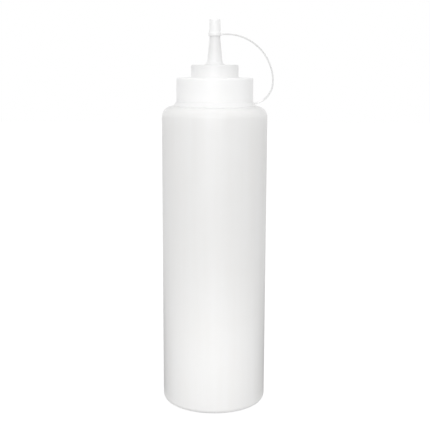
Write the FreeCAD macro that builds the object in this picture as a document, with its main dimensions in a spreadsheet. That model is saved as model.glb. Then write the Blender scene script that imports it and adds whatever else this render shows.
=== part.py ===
import FreeCAD, Part
import os
import re

import Sketcher

# Squeeze bottle for sauces: a thin-walled round bottle, a screw-on cap with a
# tapering nozzle, and a small tip cap that is tied to the bottle's neck by a
# moulded strap. The origin is on the bottle's axis, on the plane that it
# stands on, with +Z up. The strap bows out towards +X. Lengths are in mm.

doc = FreeCAD.newDocument("SqueezeBottle")

# ---------------------------------------------------------------- the sizes
# Each size that can be chosen by itself stands here once.

size_rows = [
    # the bottle
    ("body_radius", 39.0, "outside of the round body"),
    ("side_height", 224.4, "where side and shoulder would meet if sharp"),
    ("body_wall", 1.0, "wall of the whole blown bottle"),
    ("base_rounding", 4.0, "corner between side and base"),
    ("rest_width", 3.0, "flat ring that the bottle stands on"),
    ("rest_edge_rounding", 1.5, "inner edge of that ring"),
    ("base_rise", 2.5, "how far the middle of the base is pushed up"),
    ("base_middle_radius", 20.0, "flat middle of the base"),
    ("base_hollow_rounding", 6.0, "corner round that flat middle"),
    ("shoulder_rounding", 7.5, "corner between side and shoulder"),
    ("shoulder_slope", 8.0, "fall of the shoulder from the neck, in degrees"),
    ("neck_radius", 25.0, "outside of the neck, between its threads"),
    ("neck_rounding", 1.0, "corner between shoulder and neck"),
    ("neck_height", 17.7, "from the shoulder to the rim"),
    # the screw thread
    ("thread_pitch", 5.0, "rise of the thread in one turn"),
    ("thread_turns", 1.5, "turns of each ridge"),
    ("thread_depth", 1.2, "height of a ridge"),
    ("thread_foot", 2.4, "width of a ridge at its foot"),
    ("thread_crest", 1.0, "width of a ridge at its crest"),
    ("thread_play", 0.4, "from a crest to the wall that it faces"),
    # the nozzle cap
    ("cap_wall", 1.7, "wall of the skirt and of the tier"),
    ("deck_thickness", 2.0, "flat top that closes down on the rim"),
    ("tier_radius", 17.45, "small step on top of the cap"),
    ("tier_height", 9.4, "height of that step"),
    ("cap_edge_rounding", 0.8, "outer top edges of skirt and tier"),
    ("cone_foot_radius", 5.8, "nozzle where it meets the tier"),
    ("cone_top_radius", 3.75, "nozzle where the tip cap sits on it"),
    ("cone_height", 20.75, "height of the nozzle up to the tip cap"),
    ("cone_foot_rounding", 3.2, "hollow corner at the foot of the nozzle"),
    ("nozzle_wall", 1.3, "wall of the nozzle at its foot"),
    ("spout_radius", 3.2, "foot of the spout inside the tip cap"),
    ("spout_tip_radius", 2.9, "end of the spout"),
    ("spout_height", 10.4, "length of the spout"),
    ("bore_radius", 1.6, "hole along the spout"),
    # the tip cap
    ("tip_wall", 0.85, "wall of the tip cap"),
    ("tip_play", 0.15, "between the spout and the tip cap, all round"),
    ("tip_roof", 1.4, "closed end of the tip cap"),
    ("tip_rounding", 0.7, "top edge of the tip cap"),
    ("bead_height", 2.2, "thicker rim of the tip cap"),
    ("bead_width", 0.55, "how far that rim stands out"),
    # the strap, and its ring round the neck
    ("strap_thickness", 1.1, "strap, across the bow"),
    ("strap_width", 2.4, "strap, along Y"),
    ("strap_reach", 42.8, "from the axis to the strap at its widest"),
    ("strap_turn_height", 16.9, "that widest place, above the neck's foot"),
    ("ring_width", 4.2, "from the hole of the ring to its outer edge"),
    ("ring_height", 2.4, "ring at its hole"),
    ("ring_lip", 0.5, "upright outer edge of the ring"),
    ("ring_flare", 1.9, "how far the ring stands out below the skirt"),
    ("ring_play", 0.2, "from the ring to the shoulder and to the skirt"),
]

# Places that follow from the sizes. Pieces that touch or clear each other read
# the same ones.

place_rows = [
    ("shoulder_fall", "tan(shoulder_slope * 1deg)"),
    ("neck_foot_z", "side_height + (body_radius - neck_radius) * shoulder_fall"),
    ("rim_z", "neck_foot_z + neck_height"),
    ("rest_radius", "body_radius - base_rounding - rest_width"),
    ("neck_crest", "neck_radius + thread_depth"),
    ("neck_thread_z", "rim_z - thread_foot - thread_turns * thread_pitch"),
    # the ring lies along the shoulder, clear of the neck's corner
    ("ring_hole", "neck_radius + neck_rounding"),
    ("ring_hole_z", "neck_foot_z - neck_rounding * shoulder_fall + ring_play"),
    ("ring_edge", "ring_hole + ring_width"),
    ("ring_edge_z", "ring_hole_z - ring_width * shoulder_fall"),
    ("ring_top_z", "ring_hole_z + ring_height"),
    # the skirt hangs from the rim down to the ring, round the neck's thread
    ("skirt_bottom_z", "ring_top_z + ring_play"),
    ("skirt_hole", "neck_crest + thread_play"),
    ("skirt_radius", "skirt_hole + cap_wall"),
    ("skirt_crest", "skirt_hole - thread_depth"),
    ("skirt_thread_z", "neck_thread_z - thread_pitch / 2"),
    ("deck_z", "rim_z + deck_thickness"),
    ("tier_hole", "tier_radius - cap_wall"),
    ("tier_z", "deck_z + tier_height"),
    ("tier_roof_z", "tier_z - cap_wall"),
    ("cone_top_z", "tier_z + cone_height"),
    ("spout_top_z", "cone_top_z + spout_height"),
    # the tip cap sits on the top of the cone, round the spout
    ("tip_hole", "spout_radius + tip_play"),
    ("tip_hole_end", "spout_tip_radius + tip_play"),
    ("tip_roof_z", "spout_top_z + tip_play"),
    ("tip_top_z", "tip_roof_z + tip_roof"),
    ("bead_top_z", "cone_top_z + bead_height"),
    # two arcs leave the strap's widest place upright, one to the ring and one
    # to the tip cap, each ending inside what it joins
    ("turn_z", "neck_foot_z + strap_turn_height"),
    ("below_run", "strap_reach - ring_edge + ring_flare"),
    ("below_rise", "turn_z - ring_edge_z - ring_lip - strap_thickness"),
    ("below_radius", "(below_run ^ 2 + below_rise ^ 2) / (2 * below_run)"),
    ("below_angle", "atan2(below_rise; below_radius - below_run)"),
    ("above_run", "strap_reach - tip_hole - tip_wall"),
    ("above_rise", "cone_top_z + bead_height / 2 - turn_z"),
    ("above_radius", "(above_run ^ 2 + above_rise ^ 2) / (2 * above_run)"),
    ("above_angle", "atan2(above_rise; above_radius - above_run)"),
]

sizes = doc.addObject("Spreadsheet::Sheet", "Sizes")
places = doc.addObject("Spreadsheet::Sheet", "Places")
sheet_of = {}


def bound(words):
    """Put its sheet's name in front of each alias in an expression."""
    return re.sub("[a-z_]+", lambda found: sheet_of.get(found[0], "") + found[0], words)


for row, (alias, value, note) in enumerate(size_rows, start=1):
    sizes.set("A%d" % row, alias)
    sizes.set("B%d" % row, str(value))
    sizes.set("C%d" % row, note)
    sizes.setAlias("B%d" % row, alias)
    sheet_of[alias] = "Sizes."
for row, (alias, formula) in enumerate(place_rows, start=1):
    places.set("A%d" % row, alias)
    places.set("B%d" % row, "=" + bound(formula))
    places.setAlias("B%d" % row, alias)
doc.recompute()
for alias, formula in place_rows:
    sheet_of[alias] = "Places."


def size_now(words):
    """What an expression of sizes and places comes to at present."""
    value = sizes.evalExpression(bound(words))
    return getattr(value, "Value", value)


# ------------------------------------------------------------- sketch helpers

def origin_plane(body, role):
    for feature in body.Origin.OriginFeatures:
        if feature.Role == role:
            return feature
    raise ValueError(role)


def new_sketch(body, name, role):
    sketch = body.newObject("Sketcher::SketchObject", name)
    sketch.AttachmentSupport = [(origin_plane(body, role), "")]
    sketch.MapMode = "FlatFace"
    return sketch


def bind_point(sketch, geometry, end, across, up):
    """Tie a point to the sketch's axes by two expressions; "0" puts the point
    on the axis itself."""
    for kind, axis, words in (("DistanceX", -2, across), ("DistanceY", -1, up)):
        if words == "0":
            sketch.addConstraint(
                Sketcher.Constraint("PointOnObject", geometry, end, axis))
            continue
        number = sketch.addConstraint(
            Sketcher.Constraint(kind, -1, 1, geometry, end, size_now(words)))
        sketch.setExpression("Constraints[%d]" % number, bound(words))


def outline(sketch, corners):
    """Draw a closed outline whose corners are pairs of expressions."""
    points = []
    for across, up in corners:
        points.append(FreeCAD.Vector(size_now(across), size_now(up), 0))
    count = len(corners)
    for index in range(count):
        sketch.addGeometry(
            Part.LineSegment(points[index], points[(index + 1) % count]))
    for index, (across, up) in enumerate(corners):
        sketch.addConstraint(
            Sketcher.Constraint("Coincident", (index - 1) % count, 2, index, 1))
        bind_point(sketch, index, 1, across, up)


def revolve(body, name, corners):
    """A turned solid: its outline is in the XZ plane, as radius and height."""
    sketch = new_sketch(body, name + "Outline", "XZ_Plane")
    outline(sketch, corners)
    turned = body.newObject("PartDesign::Revolution", name)
    turned.Profile = sketch
    turned.ReferenceAxis = (sketch, ["V_Axis"])
    turned.Angle = 360
    doc.recompute()
    return turned


def rims(feature, radius, height):
    """Names of the round edges at a radius and a height."""
    found = []
    for number, edge in enumerate(feature.Shape.Edges, start=1):
        curve = edge.Curve
        if not isinstance(curve, Part.Circle):
            continue
        if abs(curve.Radius - size_now(radius)) > 1e-4:
            continue
        if abs(curve.Center.z - size_now(height)) < 1e-4:
            found.append("Edge%d" % number)
    if not found:
        raise ValueError("no rim at %s, %s" % (radius, height))
    return found


def round_rims(body, name, feature, radius_cell, *where):
    """Round the rims at the given pairs of radius and height."""
    edges = []
    for radius, height in where:
        edges += rims(feature, radius, height)
    fillet = body.newObject("PartDesign::Fillet", name)
    fillet.Base = (feature, edges)
    fillet.Radius = size_now(radius_cell)
    fillet.setExpression("Radius", bound(radius_cell))
    doc.recompute()
    return fillet


def thread(body, name, foot_radius, crest_radius, start_z):
    """A ridge that climbs round the axis. Its foot is sunk a little into the
    wall, so that ridge and wall join."""
    sketch = new_sketch(body, name + "Outline", "XZ_Plane")
    outline(sketch, [
        (foot_radius, start_z + " - thread_foot / 2"),
        (crest_radius, start_z + " - thread_crest / 2"),
        (crest_radius, start_z + " + thread_crest / 2"),
        (foot_radius, start_z + " + thread_foot / 2"),
    ])
    helix = body.newObject("PartDesign::AdditiveHelix", name)
    helix.Profile = sketch
    helix.ReferenceAxis = (sketch, ["V_Axis"])
    helix.Mode = "pitch-turns-angle"
    helix.setExpression("Pitch", bound("thread_pitch"))
    helix.setExpression("Turns", bound("thread_turns"))
    doc.recompute()
    return helix


# ----------------------------------------------------------------- the bottle

bottle = doc.addObject("PartDesign::Body", "bottle")
bottle.Label = "bottle"

# The middle of the base is pushed up, so that the bottle stands on a narrow ring.
blank = revolve(bottle, "Blank", [
    ("0", "base_rise"),
    ("base_middle_radius", "base_rise"),
    ("rest_radius", "0"),
    ("body_radius", "0"),
    ("body_radius", "side_height"),
    ("neck_radius", "neck_foot_z"),
    ("neck_radius", "rim_z"),
    ("0", "rim_z"),
])
blank = round_rims(bottle, "BaseCorner", blank, "base_rounding", ("body_radius", "0"))
blank = round_rims(
    bottle, "RestEdge", blank, "rest_edge_rounding", ("rest_radius", "0"))
blank = round_rims(
    bottle, "BaseHollow", blank, "base_hollow_rounding", ("base_middle_radius", "base_rise"))
blank = round_rims(
    bottle, "ShoulderCorner", blank, "shoulder_rounding", ("body_radius", "side_height"))
blank = round_rims(
    bottle, "NeckCorner", blank, "neck_rounding", ("neck_radius", "neck_foot_z"))

# The bottle is blown: one wall all over, open at the rim.
mouth_faces = []
for number, face in enumerate(blank.Shape.Faces, start=1):
    if abs(face.BoundBox.ZMin - size_now("rim_z")) < 1e-4:
        mouth_faces.append("Face%d" % number)
hollow = bottle.newObject("PartDesign::Thickness", "Hollow")
hollow.Base = (blank, mouth_faces)
hollow.setExpression("Value", bound("body_wall"))
hollow.Reversed = True
hollow.Mode = "Skin"
hollow.Join = "Arc"
doc.recompute()

thread(bottle, "NeckThread", "neck_radius - body_wall / 2", "neck_crest", "neck_thread_z")

# ------------------------------------------------------------- the nozzle cap

nozzle_cap = doc.addObject("PartDesign::Body", "nozzle_cap")
nozzle_cap.Label = "nozzle_cap"

shell = revolve(nozzle_cap, "Shell", [
    ("skirt_radius", "skirt_bottom_z"),
    ("skirt_radius", "deck_z"),
    ("tier_radius", "deck_z"),
    ("tier_radius", "tier_z"),
    ("cone_foot_radius", "tier_z"),
    ("cone_top_radius", "cone_top_z"),
    ("spout_radius", "cone_top_z"),
    ("spout_tip_radius", "spout_top_z"),
    ("bore_radius", "spout_top_z"),
    ("bore_radius", "cone_top_z"),
    ("cone_foot_radius - nozzle_wall", "tier_roof_z"),
    ("tier_hole", "tier_roof_z"),
    ("tier_hole", "rim_z"),
    ("skirt_hole", "rim_z"),
    ("skirt_hole", "skirt_bottom_z"),
])
shell = round_rims(
    nozzle_cap, "TopEdges", shell, "cap_edge_rounding",
    ("skirt_radius", "deck_z"), ("tier_radius", "tier_z"))
shell = round_rims(
    nozzle_cap, "NozzleFoot", shell, "cone_foot_rounding", ("cone_foot_radius", "tier_z"))

# The cap's own ridge lies midway between the turns of the neck's.
thread(nozzle_cap, "CapThread", "skirt_hole + cap_wall / 2", "skirt_crest", "skirt_thread_z")

# ------------------------------------------------- the tip cap with its strap
# Ring, strap and tip cap come out of one mould.

tip_cap = doc.addObject("PartDesign::Body", "tip_cap")
tip_cap.Label = "tip_cap"

revolve(tip_cap, "Ring", [
    ("ring_hole", "ring_hole_z"),
    ("ring_edge", "ring_edge_z"),
    ("ring_edge", "ring_edge_z + ring_lip"),
    ("ring_edge - ring_flare", "ring_top_z"),
    ("ring_hole", "ring_top_z"),
])


def strap_arc(name, radius, angle, upwards):
    """One arc of the strap: its section, laid flat at the widest place, is
    turned about the line along Y through the arc's middle."""
    section = new_sketch(tip_cap, name + "Section", "XY_Plane")
    section.setExpression("AttachmentOffset.Base.x", bound("strap_reach - " + radius))
    section.setExpression("AttachmentOffset.Base.z", bound("turn_z"))
    outline(section, [
        (radius + " - strap_thickness / 2", "-strap_width / 2"),
        (radius + " + strap_thickness / 2", "-strap_width / 2"),
        (radius + " + strap_thickness / 2", "strap_width / 2"),
        (radius + " - strap_thickness / 2", "strap_width / 2"),
    ])
    arc = tip_cap.newObject("PartDesign::Revolution", name)
    arc.Profile = section
    arc.ReferenceAxis = (section, ["V_Axis"])
    arc.setExpression("Angle", bound(angle))
    arc.Reversed = upwards
    doc.recompute()


strap_arc("StrapBelow", "below_radius", "below_angle", False)
strap_arc("StrapAbove", "above_radius", "above_angle", True)

cup = revolve(tip_cap, "Cup", [
    ("tip_hole", "cone_top_z"),
    ("tip_hole + tip_wall + bead_width", "cone_top_z"),
    ("tip_hole + tip_wall + bead_width", "bead_top_z"),
    ("tip_hole + tip_wall", "bead_top_z + bead_width"),
    ("tip_hole_end + tip_wall", "tip_top_z"),
    ("0", "tip_top_z"),
    ("0", "tip_roof_z"),
    ("tip_hole_end", "tip_roof_z"),
])
round_rims(tip_cap, "CupTop", cup, "tip_rounding", ("tip_hole_end + tip_wall", "tip_top_z"))

# --------------------------------------------------------- checks and writing

doc.recompute()
for thing in doc.Objects:
    if "Invalid" in thing.State or "Error" in thing.State:
        raise RuntimeError("%s is %s" % (thing.Name, thing.State))

bodies = (bottle, nozzle_cap, tip_cap)
for body in bodies:
    shape = body.Shape
    if shape.isNull() or not shape.isValid() or len(shape.Solids) != 1:
        raise RuntimeError(body.Label + " is not one valid solid")

os.makedirs("parts", exist_ok=True)
for body in bodies:
    shape = body.Shape
    shape.exportStep("parts/%s.step" % body.Label)
    print("%-12s %9.1f mm3, top at %.2f" % (body.Label, shape.Volume, shape.BoundBox.ZMax))
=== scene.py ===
from math import atan2, ceil, degrees, hypot, pi, radians, tan, tau

import bmesh
import bpy
from mathutils import Matrix, Vector


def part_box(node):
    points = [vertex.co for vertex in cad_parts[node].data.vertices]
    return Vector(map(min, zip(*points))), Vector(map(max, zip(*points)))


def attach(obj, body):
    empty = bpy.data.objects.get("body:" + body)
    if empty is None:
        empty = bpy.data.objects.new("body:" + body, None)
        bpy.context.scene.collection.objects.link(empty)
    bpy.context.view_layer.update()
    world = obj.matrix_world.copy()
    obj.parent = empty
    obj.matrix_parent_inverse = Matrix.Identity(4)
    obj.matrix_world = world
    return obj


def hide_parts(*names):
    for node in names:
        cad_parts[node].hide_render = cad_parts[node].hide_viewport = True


# A shut squeeze bottle of milky soft plastic: blown bottle, screw cap with a
# nozzle, and a tip cap tied to the neck by a thin strap. Sizes are in mm here;
# every mesh is brought to metres when its piece is finished.

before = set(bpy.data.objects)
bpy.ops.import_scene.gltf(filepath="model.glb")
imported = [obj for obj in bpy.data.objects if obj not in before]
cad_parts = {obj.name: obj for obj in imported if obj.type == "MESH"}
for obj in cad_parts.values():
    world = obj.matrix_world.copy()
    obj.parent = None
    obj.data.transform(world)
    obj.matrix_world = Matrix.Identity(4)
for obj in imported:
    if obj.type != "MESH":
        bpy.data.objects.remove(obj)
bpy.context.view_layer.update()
mm = 0.001
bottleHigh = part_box("bottle")[1] / mm
capLow, capHigh = (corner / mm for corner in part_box("nozzle_cap"))
tipLow, tipHigh = (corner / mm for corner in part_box("tip_cap"))
arcStep = 12  # degrees of a rounding that one segment takes
weldDistance = 1e-4
sharpAngle = 38
print("frame: bottle %.1f mm wide, %.1f mm tall with its caps" % (2 * bottleHigh.x, tipHigh.z))


# ---- turning and finishing

def roundOff(mesh, point, radius):
    # rounds one corner of an outline; the arc meets both runs smoothly
    runs = [edge.other_vert(point).co - point.co for edge in point.link_edges]
    opening = runs[0].angle(runs[1])
    bmesh.ops.bevel(
        mesh, geom=[point], offset=radius / tan(opening / 2), offset_type="OFFSET",
        segments=max(3, ceil(degrees(pi - opening) / arcStep)), profile=0.5,
        affect="VERTICES", material=-1, clamp_overlap=False)


def drawOutline(mesh, corners, closed):
    # corners are (x, y, z, rounding) in mm; returns the outline's edges
    points = [mesh.verts.new(corner[:3]) for corner in corners]
    ends = points[1:] + points[:1] if closed else points[1:]
    for start, end in zip(points, ends):
        mesh.edges.new((start, end))
    for point, corner in zip(points, corners):
        if corner[3]:
            roundOff(mesh, point, corner[3])


def turn(mesh, profile, closed, steps, longest):
    # profile holds (radius, height, rounding); it is drawn, cut into runs no
    # longer than the longest, and spun full circle
    part = bmesh.new()
    drawOutline(part, [(across, 0, up, rounding) for across, up, rounding in profile], closed)
    for edge in part.edges[:]:
        cuts = int(edge.calc_length() / longest)
        if cuts:
            bmesh.ops.subdivide_edges(part, edges=[edge], cuts=cuts)
    bmesh.ops.spin(
        part, geom=part.verts[:] + part.edges[:], cent=(0, 0, 0), axis=(0, 0, 1),
        dvec=(0, 0, 0), angle=tau, steps=steps, use_merge=True)
    bmesh.ops.remove_doubles(part, verts=part.verts, dist=weldDistance)
    bmesh.ops.recalc_face_normals(part, faces=part.faces)
    return addTo(mesh, part)


def addTo(mesh, part):
    # moves a finished part into the piece that it belongs to
    keep = bpy.data.meshes.new("part")
    part.to_mesh(keep)
    part.free()
    mesh.from_mesh(keep)
    bpy.data.meshes.remove(keep)
    return mesh


def screwRidge(mesh, foot, crest, startZ, thread):
    # a ridge that climbs round the axis, its ends run out into the wall
    part = bmesh.new()
    half, top = thread["footWidth"] / 2, thread["crestWidth"] / 2
    soft = thread["rounding"]
    drawOutline(part, [
        (foot, 0, startZ - half, 0), (crest, 0, startZ - top, soft),
        (crest, 0, startZ + top, soft), (foot, 0, startZ + half, 0)], True)
    first = part.verts[:]
    steps = int(thread["turns"] * thread["stepsPerTurn"])
    spun = bmesh.ops.spin(
        part, geom=part.verts[:] + part.edges[:], cent=(0, 0, 0), axis=(0, 0, 1),
        dvec=(0, 0, thread["pitch"] * thread["turns"] / steps),
        angle=thread["turns"] * tau, steps=steps, use_merge=False)
    last = [item for item in spun["geom_last"] if isinstance(item, bmesh.types.BMVert)]
    for vert in first + last:  # both ends sink to the foot
        share = foot / hypot(vert.co.x, vert.co.y)
        vert.co.x *= share
        vert.co.y *= share
    rim = [edge for edge in part.edges if edge.is_boundary]
    bmesh.ops.holes_fill(part, edges=rim, sides=0)
    bmesh.ops.recalc_face_normals(part, faces=part.faces)
    if part.calc_volume(signed=True) < 0:  # the cap's ridge comes out inside out
        bmesh.ops.reverse_faces(part, faces=part.faces)
    return addTo(mesh, part)


def finishPiece(name, mesh, finish, node):
    bmesh.ops.scale(mesh, vec=(mm, mm, mm), verts=mesh.verts)
    for face in mesh.faces:
        face.smooth = True
    data = bpy.data.meshes.new(name)
    mesh.to_mesh(data)
    mesh.free()
    data.set_sharp_from_angle(angle=radians(sharpAngle))
    data.materials.append(finish)
    made = bpy.data.objects.new(name, data)
    bpy.context.scene.collection.objects.link(made)
    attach(made, "root")
    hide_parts(node)
    print("%s: %d faces" % (name, len(data.polygons)))
    return made


# ---- shader wires and plastic

grain = dict(
    streakDetail=4.0, streakRoughness=0.55, mottleDetail=3.0, skinDetail=2.0, bending=1.5)


class Wire:
    # one output of a node; arithmetic on wires adds Math nodes
    def __init__(self, tree, socket=None):
        self.tree = tree
        self.socket = socket

    def node(self, kind, settings={}, inputs={}, output=0):
        made = self.tree.nodes.new("ShaderNode" + kind)
        for name, value in settings.items():
            setattr(made, name, value)
        for name, value in inputs.items():
            if isinstance(value, Wire):
                self.tree.links.new(value.socket, made.inputs[name])
            else:
                made.inputs[name].default_value = value
        return Wire(self.tree, made.outputs[output] if made.outputs else None)

    def math(self, operation, first, second=0.0):
        return self.node("Math", {"operation": operation}, {0: first, 1: second})

    def __add__(self, other):
        return self.math("ADD", self, other)

    def __mul__(self, other):
        return self.math("MULTIPLY", self, other)

    def __sub__(self, other):
        return self.math("SUBTRACT", self, other)

    def __rsub__(self, other):
        return self.math("SUBTRACT", other, self)

    def __pow__(self, other):
        return self.math("POWER", self, other)

    def __abs__(self):
        return self.math("ABSOLUTE", self)

    __radd__ = __add__
    __rmul__ = __mul__

    def either(self, other):
        return self.math("MAXIMUM", self, other)

    def between(self, low, high):
        # 0 at low, 1 at high, smooth on the way
        return self.node(
            "MapRange", {"interpolation_type": "SMOOTHSTEP"},
            {"Value": self, "From Min": low, "From Max": high})

    def colours(self, first, second):
        # the wire picks between two colours
        return self.node(
            "Mix", {"data_type": "RGBA"}, {0: self, 6: first, 7: second}, 2)

    def shaded(self, colour, shade):
        # the colour is multiplied by the shade where the wire is 1
        return self.node(
            "Mix", {"data_type": "RGBA", "blend_type": "MULTIPLY"},
            {0: self, 6: colour, 7: shade}, 2)

    def along(self, axis):
        return self.node("SeparateXYZ", {}, {0: self}, axis)

    def fromAxis(self):
        return (self.along("X") ** 2 + self.along("Y") ** 2) ** 0.5


def emptyTree(owner):
    owner.use_nodes = True
    owner.node_tree.nodes.clear()
    return Wire(owner.node_tree)


def plasticTree(name, look):
    # what the three finishes share: streaks, mottle and fine skin
    finish = bpy.data.materials.new(name)
    start = emptyTree(finish)
    spot = start.node("TexCoord", output="Object")
    stretched = start.node("Mapping", {}, {"Vector": spot, "Scale": look["streakScale"]})
    streaks = start.node("TexNoise", {}, {
        "Vector": stretched, "Scale": 1.0, "Detail": grain["streakDetail"],
        "Roughness": grain["streakRoughness"]})
    mottle = start.node("TexNoise", {}, {
        "Vector": spot, "Scale": look["mottleScale"], "Detail": grain["mottleDetail"]})
    skin = start.node("TexNoise", {}, {
        "Vector": spot, "Scale": look["skinScale"], "Detail": grain["skinDetail"]})
    share = look["streakShare"]
    cloud = (streaks * share + mottle * (1 - share)).between(*look["cloudRange"])
    colour = cloud.colours(look["pale"], look["deep"])
    roughness = look["roughness"] + mottle * look["mottleRough"] + skin * look["skinRough"]
    height = skin * look["skinHeight"] + streaks * look["streakHeight"]
    return finish, start, spot, colour, roughness, height


def plasticShader(start, look, colour, roughness, height, coating={}, inside={}):
    bump = start.node("Bump", {}, {
        "Strength": look["bumpStrength"], "Distance": look["bumpDepth"] * mm, "Height": height})
    shader = start.node("BsdfPrincipled", {}, {
        "Base Color": colour, "Roughness": roughness, "Normal": bump,
        "IOR": grain["bending"], "Specular IOR Level": look["gloss"],
        "Transmission Weight": look["clearness"], **coating})
    start.node("OutputMaterial", {}, {"Surface": shader, **inside})


# ---- the blown bottle

bottleSizes = dict(
    wall=1.0, baseRounding=4.0, restWidth=3.0, restEdgeRounding=1.5, baseRise=2.5,
    baseMiddle=20.0, hollowRounding=6.0, shoulderRounding=7.5, shoulderSlope=8.0,
    neckRadius=25.0, neckRounding=1.0, neckHeight=17.7, rimRounding=0.35, rimSegments=3,
    rimReach=1e-3, rimTurn=1.0, steps=192, longest=8.0)

threadSizes = dict(
    pitch=5.0, turns=1.5, depth=1.2, footWidth=2.4, crestWidth=1.0, rounding=0.3,
    stepsPerTurn=96)

bottleLook = dict(
    pale=(0.925, 0.923, 0.919, 1), deep=(0.907, 0.902, 0.892, 1), streakScale=(160, 160, 6),
    streakShare=0.6, cloudRange=(0.35, 0.68), mottleScale=30.0, skinScale=900.0,
    gloss=0.6, roughness=0.27, mottleRough=0.10, skinRough=0.04, clearness=0.15,
    skinHeight=0.25, streakHeight=0.7, seam=0.12, seamWidth=0.45,
    bumpStrength=0.25, bumpDepth=0.25,
    coat=0.2, coatRoughness=0.12, polishFrom=bottleHigh.z - 30, polishTo=bottleHigh.z - 24,
    wallTint=(0.30, 0.27, 0.22, 1), wallDensity=12.0)


def threadStart(thread):
    # height of the neck's thread at its lower end
    return bottleHigh.z - thread["footWidth"] - thread["turns"] * thread["pitch"]


def bottleFinish(look):
    finish, start, spot, colour, roughness, height = plasticTree("milkyBottle", look)
    seam = 1 - abs(spot.along("Y")).between(0.0, look["seamWidth"] * mm)
    # the shoulder came out of a polished part of the mould
    polish = spot.along("Z").between(look["polishFrom"] * mm, look["polishTo"] * mm)
    # the wall itself swallows a little light, so long ways through it are darker
    inside = start.node(
        "VolumeAbsorption", {}, {"Color": look["wallTint"], "Density": look["wallDensity"]})
    plasticShader(
        start, look, colour, roughness, height + seam * look["seam"],
        {"Coat Weight": polish * look["coat"], "Coat Roughness": look["coatRoughness"]},
        {"Volume": inside})
    return finish


def makeBottle(sizes, look):
    radius, rim = bottleHigh.x, bottleHigh.z
    neckFoot = rim - sizes["neckHeight"]
    fall = tan(radians(sizes["shoulderSlope"]))
    shoulder = neckFoot - (radius - sizes["neckRadius"]) * fall
    rest = radius - sizes["baseRounding"] - sizes["restWidth"]
    mesh = bmesh.new()
    turn(mesh, [
        (0, sizes["baseRise"], 0),
        (sizes["baseMiddle"], sizes["baseRise"], sizes["hollowRounding"]),
        (rest, 0, sizes["restEdgeRounding"]),
        (radius, 0, sizes["baseRounding"]),
        (radius, shoulder, sizes["shoulderRounding"]),
        (sizes["neckRadius"], neckFoot, sizes["neckRounding"]),
        (sizes["neckRadius"], rim, 0),
    ], False, sizes["steps"], sizes["longest"])
    bmesh.ops.solidify(mesh, geom=mesh.faces[:], thickness=sizes["wall"])
    lip = [edge for edge in mesh.edges
           if all(vert.co.z > rim - sizes["rimReach"] for vert in edge.verts)
           and abs(edge.calc_face_angle(0)) > sizes["rimTurn"]]
    bmesh.ops.bevel(
        mesh, geom=lip, offset=sizes["rimRounding"], offset_type="OFFSET",
        segments=sizes["rimSegments"], profile=0.5, affect="EDGES", material=-1)
    thread = threadSizes
    screwRidge(
        mesh, sizes["neckRadius"] - sizes["wall"] / 2, sizes["neckRadius"] + thread["depth"],
        threadStart(thread), thread)
    return finishPiece("blownBottle", mesh, bottleFinish(look), "bottle")


# ---- the nozzle cap

capSizes = dict(
    wall=1.7, deck=2.0, tierRadius=17.45, tierHeight=9.4, edgeRounding=0.8,
    coneFoot=5.8, coneTop=3.75, coneFootRounding=3.2, nozzleWall=1.3,
    spoutFoot=3.2, spoutEnd=2.9, spoutHeight=10.4, bore=1.6, boreRounding=1.0,
    mouthRounding=0.08, crispRounding=0.3, steps=144, longest=4.0)

capLook = dict(
    pale=(0.978, 0.978, 0.978, 1), deep=(0.962, 0.962, 0.957, 1), streakScale=(120, 120, 40),
    streakShare=0.5, cloudRange=(0.35, 0.7), mottleScale=55.0, skinScale=1400.0,
    gloss=0.42, roughness=0.24, mottleRough=0.08, skinRough=0.04, clearness=0.1,
    skinHeight=0.35, streakHeight=0.5, bumpStrength=0.2, bumpDepth=0.15,
    # the shade below is painted: it greys the thin walls above the skirt
    paintedShade=(0.885, 0.885, 0.885, 1), fade=0.5)


def capFinish(name, look, paintedShadeZone):
    # painted shade: where thin walls let more light through, the colour is greyed, so they look
    # greyer than thick ones
    finish, start, spot, colour, roughness, height = plasticTree(name, look)
    colour = paintedShadeZone(spot).shaded(colour, look["paintedShade"])
    plasticShader(start, look, colour, roughness, height)
    return finish


def makeNozzleCap(sizes, look):
    radius, bottom, spoutTop = capHigh.x, capLow.z, capHigh.z
    rim = bottleHigh.z
    hole = radius - sizes["wall"]
    deckTop = rim + sizes["deck"]
    tierTop = deckTop + sizes["tierHeight"]
    tierRoof, tierHole = tierTop - sizes["wall"], sizes["tierRadius"] - sizes["wall"]
    coneTop = spoutTop - sizes["spoutHeight"]
    crisp = sizes["crispRounding"]
    mesh = bmesh.new()
    turn(mesh, [
        (radius, bottom, sizes["mouthRounding"]),
        (radius, deckTop, sizes["edgeRounding"]),
        (sizes["tierRadius"], deckTop, crisp),
        (sizes["tierRadius"], tierTop, sizes["edgeRounding"]),
        (sizes["coneFoot"], tierTop, sizes["coneFootRounding"]),
        (sizes["coneTop"], coneTop, crisp / 2),
        (sizes["spoutFoot"], coneTop, crisp / 2),
        (sizes["spoutEnd"], spoutTop, crisp),
        (sizes["bore"], spoutTop, crisp),
        (sizes["bore"], coneTop, sizes["boreRounding"]),
        (sizes["coneFoot"] - sizes["nozzleWall"], tierRoof, crisp),
        (tierHole, tierRoof, crisp),
        (tierHole, rim, crisp),
        (hole, rim, crisp),
        (hole, bottom, crisp),
    ], True, sizes["steps"], sizes["longest"])
    thread = threadSizes
    screwRidge(
        mesh, hole + sizes["wall"] / 2, hole - thread["depth"],
        threadStart(thread) - thread["pitch"] / 2, thread)

    # painted shade on the tier and the nozzle, greyed where light passes through their thin
    # walls
    def paintedShadeZone(spot):  # all above the skirt
        return spot.along("Z").between(deckTop * mm, (deckTop + look["fade"]) * mm)

    return finishPiece(
        "nozzleCap", mesh, capFinish("milkyCap", look, paintedShadeZone), "nozzle_cap")


# ---- the tip cap, its strap and the ring round the neck

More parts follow.
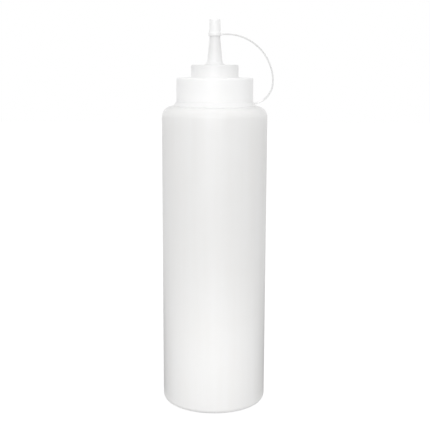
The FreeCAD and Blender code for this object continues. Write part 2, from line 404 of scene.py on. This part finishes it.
tipSizes = dict(
    wall=0.85, play=0.15, roof=1.4, topRounding=0.7, beadHeight=2.2, beadWidth=0.55,
    beadRounding=0.25, holeRounding=0.15, holeEndRounding=0.3, steps=96, longest=2.0,
    ringHole=26.0, ringWidth=4.2, ringLip=0.5, ringFlare=1.9, ringRounding=0.08,
    ringDrop=0.21, ringSteps=144, ringLongest=8.0)

strapSizes = dict(
    thickness=1.1, width=2.4, rounding=0.4, turnHeight=16.9, stepLength=1.0)

tipLook = dict(
    capLook, pale=(0.955, 0.955, 0.955, 1), deep=(0.94, 0.94, 0.935, 1),
    streakScale=(200, 200, 60), mottleScale=80.0, skinScale=1600.0, bumpDepth=0.12,
    # the shade and the ring share below are painted: they grey the strap and part of the ring
    paintedShade=(0.82, 0.82, 0.82, 1), fade=3.0, ringPaintedShare=0.27)


def sweepArc(mesh, section, middle, angle, radius, sizes):
    # carries the strap's section round a line along Y; returns the end section
    steps = ceil(angle * radius / sizes["stepLength"])
    spun = bmesh.ops.spin(
        mesh, geom=section, cent=middle, axis=(0, -1, 0), dvec=(0, 0, 0),
        angle=angle, steps=steps, use_merge=False)
    return spun["geom_last"]


def makeStrap(mesh, sizes, ringEdge, ringEdgeZ, lip, flare, cupRadius, cupZ, turnZ):
    # two arcs leave the widest place upright: one down to the ring, one up to the cup
    reach = tipHigh.x - sizes["thickness"] / 2
    part = bmesh.new()
    half, broad = sizes["thickness"] / 2, sizes["width"] / 2
    soft = sizes["rounding"]
    run, rise = reach - ringEdge + flare, turnZ - ringEdgeZ - lip - sizes["thickness"]
    lowRadius = (run ** 2 + rise ** 2) / (2 * run)
    lowAngle = atan2(rise, lowRadius - run)
    run, rise = reach - cupRadius, cupZ - turnZ
    highRadius = (run ** 2 + rise ** 2) / (2 * run)
    highAngle = atan2(rise, highRadius - run)
    drawOutline(part, [
        (reach - half, -broad, turnZ, soft), (reach + half, -broad, turnZ, soft),
        (reach + half, broad, turnZ, soft), (reach - half, broad, turnZ, soft)], True)
    lowMiddle, highMiddle = (reach - lowRadius, 0, turnZ), (reach - highRadius, 0, turnZ)
    # the section starts at the ring's end, so one spin leads into the next
    bmesh.ops.rotate(
        part, verts=part.verts, cent=lowMiddle, matrix=Matrix.Rotation(lowAngle, 3, "Y"))
    widest = sweepArc(
        part, part.verts[:] + part.edges[:], lowMiddle, lowAngle, lowRadius, sizes)
    sweepArc(part, widest, highMiddle, highAngle, highRadius, sizes)
    bmesh.ops.holes_fill(part, edges=[e for e in part.edges if e.is_boundary], sides=0)
    bmesh.ops.recalc_face_normals(part, faces=part.faces)
    return addTo(mesh, part)


def makeTipCap(sizes, strap, look):
    coneTop = capHigh.z - capSizes["spoutHeight"]
    hole = capSizes["spoutFoot"] + sizes["play"]
    holeEnd = capSizes["spoutEnd"] + sizes["play"]
    roof, top = tipHigh.z - sizes["roof"], tipHigh.z
    beadTop = coneTop + sizes["beadHeight"]
    outer = hole + sizes["wall"]
    soft = sizes["beadRounding"]
    mesh = bmesh.new()
    turn(mesh, [
        (0, roof, 0),
        (holeEnd, roof, sizes["holeEndRounding"]),
        (hole, coneTop, sizes["holeRounding"]),
        (outer + sizes["beadWidth"], coneTop, soft),
        (outer + sizes["beadWidth"], beadTop, soft),
        (outer, beadTop + sizes["beadWidth"], soft),
        (holeEnd + sizes["wall"], top, sizes["topRounding"]),
        (0, top, 0),
    ], False, sizes["steps"], sizes["longest"])
    ringEdge = sizes["ringHole"] + sizes["ringWidth"]
    ringEdgeZ = tipLow.z - sizes["ringDrop"]  # lies on the shoulder
    ringHoleZ = ringEdgeZ + sizes["ringWidth"] * tan(radians(bottleSizes["shoulderSlope"]))
    ringTop = capLow.z  # up to the skirt, with no dark gap
    edge = sizes["ringRounding"]
    turn(mesh, [
        (sizes["ringHole"], ringHoleZ, edge),
        (ringEdge, ringEdgeZ, edge),
        (ringEdge, ringEdgeZ + sizes["ringLip"], edge),
        (ringEdge - sizes["ringFlare"], ringTop, edge),
        (sizes["ringHole"], ringTop, edge),
    ], True, sizes["ringSteps"], sizes["ringLongest"])
    neckFoot = bottleHigh.z - bottleSizes["neckHeight"]
    makeStrap(
        mesh, strap, ringEdge, ringEdgeZ, sizes["ringLip"], sizes["ringFlare"],
        outer, coneTop + sizes["beadHeight"] / 2, neckFoot + strap["turnHeight"])

    # painted shade on the strap and, by a share, on the ring under the skirt
    def paintedShadeZone(spot):  # the strap, off the axis and above the ring, and a share of the ring
        beside = spot.fromAxis().between(outer * mm, (outer + look["fade"]) * mm)
        above = spot.along("Z").between(ringTop * mm, (ringTop + look["fade"]) * mm)
        return beside * (above * (1 - look["ringPaintedShare"]) + look["ringPaintedShare"])

    return finishPiece(
        "tiedTipCap", mesh, capFinish("milkyTip", look, paintedShadeZone), "tip_cap")


makeBottle(bottleSizes, bottleLook)
makeNozzleCap(capSizes, capLook)
makeTipCap(tipSizes, strapSizes, tipLook)


# ---- floor, light and camera

studio = dict(
    floorSize=6.0, floorDrop=0.00005, floorColour=(0.15, 0.15, 0.15, 1), floorGlow=0.9,
    # the two reaches bound a painted shadow in the floor as reflections see it: dark from the
    # foot's edge, bright again further off
    floorBounce=0.36, floorMirror=0.6, footReach=(0.042, 0.052), darkReach=(0.1, 0.6),
    # the last two set a painted darker sky overhead, seen only in reflections
    airLight=0.98, overheadReflectionFrom=(0.05, 0.45), overheadReflectionShade=0.5)

lamps = dict(
    frontSoftbox=dict(
        power=5.6, place=(-0.1, -1.2, 0.55), size=(1.0, 1.1), aim=(0.0, 0.0, 0.2), spread=180),
    topSoftbox=dict(
        power=1.2, place=(0.0, -0.1, 1.5), size=(1.0, 1.0), aim=(0.0, 0.0, 0.2), spread=180),
    lowSoftbox=dict(
        power=0.017, place=(0.0, -0.55, 0.06), size=(0.25, 0.1), aim=(0.0, 0.0, 0.03),
        spread=20))

# milky walls pass light on many times
lightPaths = dict(total=24, diffuse=12, glossy=8, transmission=24)

cameraView = dict(
    place=(0.0005, -0.650, 0.259), tilt=79.93, roll=0.2, lens=73.11, sensor=36)


def rays(start, kind):
    return start.node("LightPath", output="Is %s Ray" % kind)


def seenInPlastic(start):
    return rays(start, "Glossy").either(rays(start, "Transmission"))


def makeFloor(studio):
    mesh = bmesh.new()
    bmesh.ops.create_grid(mesh, x_segments=2, y_segments=2, size=studio["floorSize"] / 2)
    bmesh.ops.translate(mesh, verts=mesh.verts, vec=(0, 0, -studio["floorDrop"]))
    data = bpy.data.meshes.new("floor")
    mesh.to_mesh(data)
    mesh.free()
    finish = bpy.data.materials.new("paleFloor")
    start = emptyTree(finish)
    matt = start.node("BsdfDiffuse", {}, {"Color": studio["floorColour"]})
    # the camera, the lit walls and the mirrored or seen-through floor have a glow each; the
    # last holds a painted shadow, dark just outside the foot and brightening further off
    away = start.node("TexCoord", output="Object").fromAxis()
    paintedShadowReflection = away.between(*studio["darkReach"]) + 1 - away.between(*studio["footReach"])
    strength = (rays(start, "Camera") * studio["floorGlow"]
                + rays(start, "Diffuse") * studio["floorBounce"]
                + seenInPlastic(start) * paintedShadowReflection * studio["floorMirror"])
    glow = start.node("Emission", {}, {"Color": (1, 1, 1, 1), "Strength": strength})
    both = start.node("AddShader", {}, {0: matt, 1: glow})
    start.node("OutputMaterial", {}, {"Surface": both})
    data.materials.append(finish)
    floor = bpy.data.objects.new("floor", data)
    bpy.context.scene.collection.objects.link(floor)


def makeAir(studio):
    world = bpy.data.worlds.new("paleAir")
    bpy.context.scene.world = world
    start = emptyTree(world)
    seen = rays(start, "Camera").either(seenInPlastic(start))
    high = start.node("TexCoord", output="Generated").along("Z").between(*studio["overheadReflectionFrom"])
    # painted reflection: the air overhead is darker in reflections than as light
    paintedOverheadShade = rays(start, "Glossy") * high * studio["overheadReflectionShade"]
    strength = seen * (1 - studio["airLight"]) + studio["airLight"] - paintedOverheadShade
    air = start.node("Background", {}, {"Color": (1, 1, 1, 1), "Strength": strength})
    start.node("OutputWorld", {}, {"Surface": air})


def makeLamp(name, lamp):
    light = bpy.data.lights.new(name, "AREA")
    light.spread = radians(lamp["spread"])
    light.shape = "RECTANGLE"
    light.size, light.size_y = lamp["size"]
    light.energy = lamp["power"]
    made = bpy.data.objects.new(name, light)
    made.location = lamp["place"]
    way = Vector(lamp["aim"]) - Vector(lamp["place"])
    made.rotation_euler = way.to_track_quat("-Z", "Y").to_euler()
    bpy.context.scene.collection.objects.link(made)
    made.visible_camera = False


def makeCamera(view):
    camera = bpy.data.cameras.new("camera")
    camera.lens = view["lens"]
    camera.sensor_width = view["sensor"]
    made = bpy.data.objects.new("camera", camera)
    made.location = view["place"]
    made.rotation_euler = (
        Matrix.Rotation(radians(view["tilt"]), 3, "X")
        @ Matrix.Rotation(radians(view["roll"]), 3, "Z")).to_euler()
    bpy.context.scene.collection.objects.link(made)
    bpy.context.scene.camera = made


makeFloor(studio)
makeAir(studio)
for name, lamp in lamps.items():
    makeLamp(name, lamp)
makeCamera(cameraView)
bpy.context.scene.view_settings.view_transform = "Standard"
cycles = bpy.context.scene.cycles
cycles.max_bounces = lightPaths["total"]
cycles.diffuse_bounces = lightPaths["diffuse"]
cycles.glossy_bounces = lightPaths["glossy"]
cycles.transmission_bounces = lightPaths["transmission"]
print("floor, air, lamps and camera are in place")
